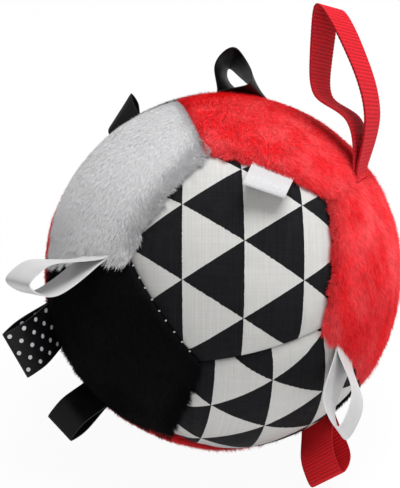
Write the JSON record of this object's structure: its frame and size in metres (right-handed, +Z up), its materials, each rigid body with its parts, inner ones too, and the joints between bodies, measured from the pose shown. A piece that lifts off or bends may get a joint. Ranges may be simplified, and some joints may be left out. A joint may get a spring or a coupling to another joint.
{
  "type": "soft fabric ball",
  "caption": "Stuffed baby's ball sewn from five-sided plush and printed cotton panels, with ribbon loops, a folded label and a webbing hanging strap caught in its seams.",
  "frame": {"origin": "on the floor under the ball's centre, in the middle of the small flat that the ball rests on", "axes": "+Z up; -Y towards the viewer that the front print panel faces; +X to that viewer's right"},
  "size_m": [0.1666, 0.1739, 0.1874],
  "materials": {
    "plush_red": "short plush pile, matte",
    "plush_black": "short plush pile, matte",
    "plush_white": "short plush pile, matte",
    "print_cotton": "plain weave, black triangle print",
    "fibre_filling": "loose fibre, matte",
    "thread": "twisted thread",
    "satin_white": "satin ribbon",
    "satin_black": "satin ribbon",
    "satin_dotted": "satin ribbon, small white dots",
    "grosgrain_red": "ribbed ribbon",
    "webbing_red": "woven webbing",
    "label_white": "blank woven label"
  },
  "bodies": {
    "ball": {"front_print_panel": "print_cotton", "top_red_panel": "plush_red", "upper_white_panel": "plush_white", "left_black_panel": "plush_black", "lower_print_panel": "print_cotton", "right_red_panel": "plush_red", "rear_top_black_panel": "plush_black", "left_red_panel": "plush_red", "bottom_red_panel": "plush_red", "rear_lower_black_panel": "plush_black", "rear_upper_white_panel": "plush_white", "rear_print_panel": "print_cotton", "filling": "fibre_filling", "seam_thread": "thread", "hanging_strap_sewn_end": "webbing_red", "care_label_sewn_end": "label_white", "white_left_ribbon_sewn_end": "satin_white", "dotted_ribbon_sewn_end": "satin_dotted", "black_lower_ribbon_sewn_end": "satin_black", "black_upper_ribbon_sewn_end": "satin_black", "black_top_ribbon_sewn_end": "satin_black", "white_right_ribbon_sewn_end": "satin_white", "red_lower_ribbon_sewn_end": "grosgrain_red"},
    "strap_loop": {"hanging_strap": "webbing_red"},
    "label_fold": {"care_label": "label_white"},
    "white_left_loop": {"white_left_ribbon": "satin_white"},
    "dotted_loop": {"dotted_ribbon": "satin_dotted"},
    "black_lower_loop": {"black_lower_ribbon": "satin_black"},
    "black_upper_loop": {"black_upper_ribbon": "satin_black"},
    "black_top_loop": {"black_top_ribbon": "satin_black"},
    "white_right_loop": {"white_right_ribbon": "satin_white"},
    "red_lower_loop": {"red_lower_ribbon": "grosgrain_red"}
  },
  "joints": [
    {"name": "strap_bend", "type": "hinge", "parent": "ball", "child": "strap_loop", "pos_m": [0.05646, -0.00327, 0.12066], "axis": [-0.3076, -0.8987, 0.3126], "range_deg": [-102, 2], "stiffness_Nm_per_rad": 0.004},
    {"name": "label_bend", "type": "hinge", "parent": "ball", "child": "label_fold", "pos_m": [0.01972, -0.02908, 0.13849], "axis": [0.9311, -0.1236, -0.3432], "range_deg": [-132, 4], "stiffness_Nm_per_rad": 0.0006},
    {"name": "white_left_bend", "type": "hinge", "parent": "ball", "child": "white_left_loop", "pos_m": [-0.05057, -0.04185, 0.10644], "axis": [-0.7202, 0.5818, -0.3778], "range_deg": [-40, 88], "stiffness_Nm_per_rad": 0.0008},
    {"name": "dotted_bend", "type": "hinge", "parent": "ball", "child": "dotted_loop", "pos_m": [-0.06945, -0.01665, 0.05937], "axis": [-0.2167, 0.0166, 0.9761], "range_deg": [-98, 30], "stiffness_Nm_per_rad": 0.0006},
    {"name": "black_lower_bend", "type": "hinge", "parent": "ball", "child": "black_lower_loop", "pos_m": [-0.05235, -0.02829, 0.03221], "axis": [-0.6112, 0.7491, 0.2554], "range_deg": [-83, 41], "stiffness_Nm_per_rad": 0.0006},
    {"name": "black_upper_bend", "type": "hinge", "parent": "ball", "child": "black_upper_loop", "pos_m": [-0.04122, 0.03195, 0.12558], "axis": [0.7434, -0.0985, 0.6615], "range_deg": [-19, 79], "stiffness_Nm_per_rad": 0.0006},
    {"name": "black_top_bend", "type": "hinge", "parent": "ball", "child": "black_top_loop", "pos_m": [0.00415, 0.04291, 0.13341], "axis": [0.7981, 0.4588, -0.3905], "range_deg": [-40, 2], "stiffness_Nm_per_rad": 0.0006},
    {"name": "white_right_bend", "type": "hinge", "parent": "ball", "child": "white_right_loop", "pos_m": [0.04903, -0.05379, 0.06885], "axis": [-0.412, -0.4583, 0.7875], "range_deg": [-20, 107], "stiffness_Nm_per_rad": 0.0008},
    {"name": "red_lower_bend", "type": "hinge", "parent": "ball", "child": "red_lower_loop", "pos_m": [0.03985, -0.03176, 0.02223], "axis": [-0.7573, 0.1094, -0.6438], "range_deg": [-3, 24], "stiffness_Nm_per_rad": 0.0008}
  ]
}
